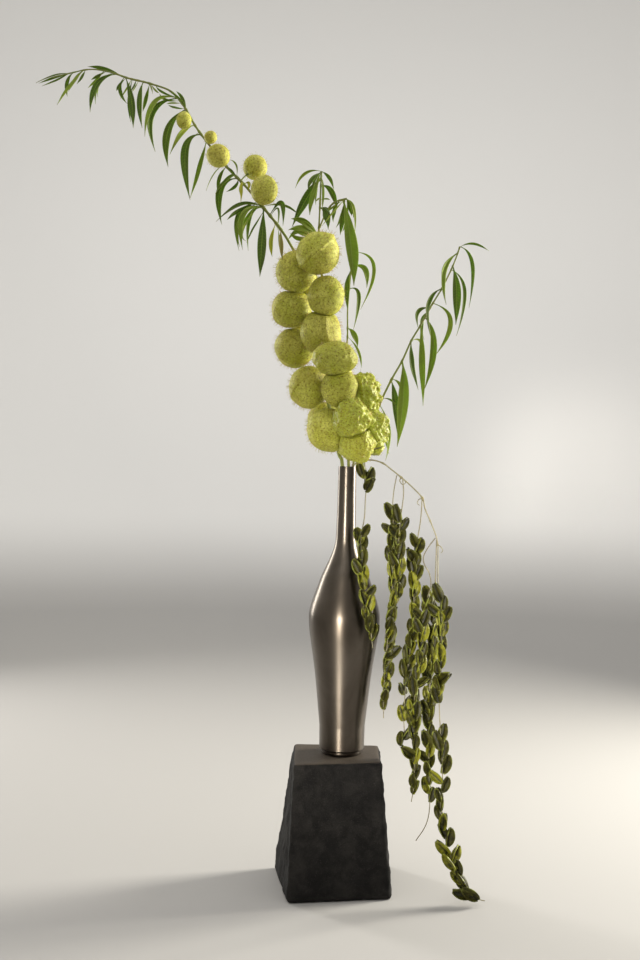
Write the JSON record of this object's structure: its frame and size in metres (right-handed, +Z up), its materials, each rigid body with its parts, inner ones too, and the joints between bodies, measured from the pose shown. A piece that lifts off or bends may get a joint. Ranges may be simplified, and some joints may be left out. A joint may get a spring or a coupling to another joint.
{
  "type": "ikebana arrangement",
  "caption": "Balloon milkweed with inflated pods and a fruiting yam vine, arranged in a slender metal bottle vase on a rough stone block",
  "frame": {"origin": "On the surface that the stone block stands on, at the centre of its underside below the vase's axis", "axes": "+Z up along the vase's axis, +X to the right as the arrangement is seen from its front, +Y away from the viewer"},
  "size_m": [0.6384, 0.1785, 1.1335],
  "materials": {
    "stone": "matte",
    "metal": "satin",
    "stem": "matte",
    "leaf": "matte",
    "pod": "matte",
    "capsule": "matte"
  },
  "bodies": {
    "root": {"leaf_main_06": "leaf", "leaf_main_08": "leaf", "leaf_main_10": "leaf", "leaf_main_12": "leaf", "leaf_main_13": "leaf", "leaf_main_14": "leaf", "leaf_main_18": "leaf", "leaf_main_22": "leaf", "leaf_main_28": "leaf", "leaf_right_03": "leaf", "leaf_right_04": "leaf", "leaf_right_06": "leaf", "leaf_right_10": "leaf", "leaf_right_11": "leaf", "leaf_right_12": "leaf", "leaf_right_14": "leaf", "leaf_right_16": "leaf", "leaf_upright_06": "leaf", "leaf_upright_11": "leaf", "leaf_upright_16": "leaf", "pod_a": "pod", "pod_b": "pod", "pod_c": "pod", "pod_d": "pod", "pod_e": "pod", "pod_f": "pod", "pod_g": "pod", "pod_h": "pod", "pod_i": "pod", "pod_j": "pod", "pod_k": "pod", "pod_l": "pod", "pod_m": "pod", "pod_n": "pod", "pod_o": "pod", "pod_q": "pod", "pod_r": "pod", "pod_s": "pod", "pod_t": "pod", "pod_u": "pod", "pod_v": "pod", "pod_w": "pod", "pod_x": "pod", "pod_y": "pod", "stand": "stone", "stem_main": "stem", "stem_right": "stem", "stem_upright": "stem", "string_1": "capsule", "string_2": "capsule", "string_3": "capsule", "string_4": "capsule", "string_5": "capsule", "string_6": "capsule", "string_7": "capsule", "vase": "metal", "vine": "stem"}
  },
  "joints": []
}
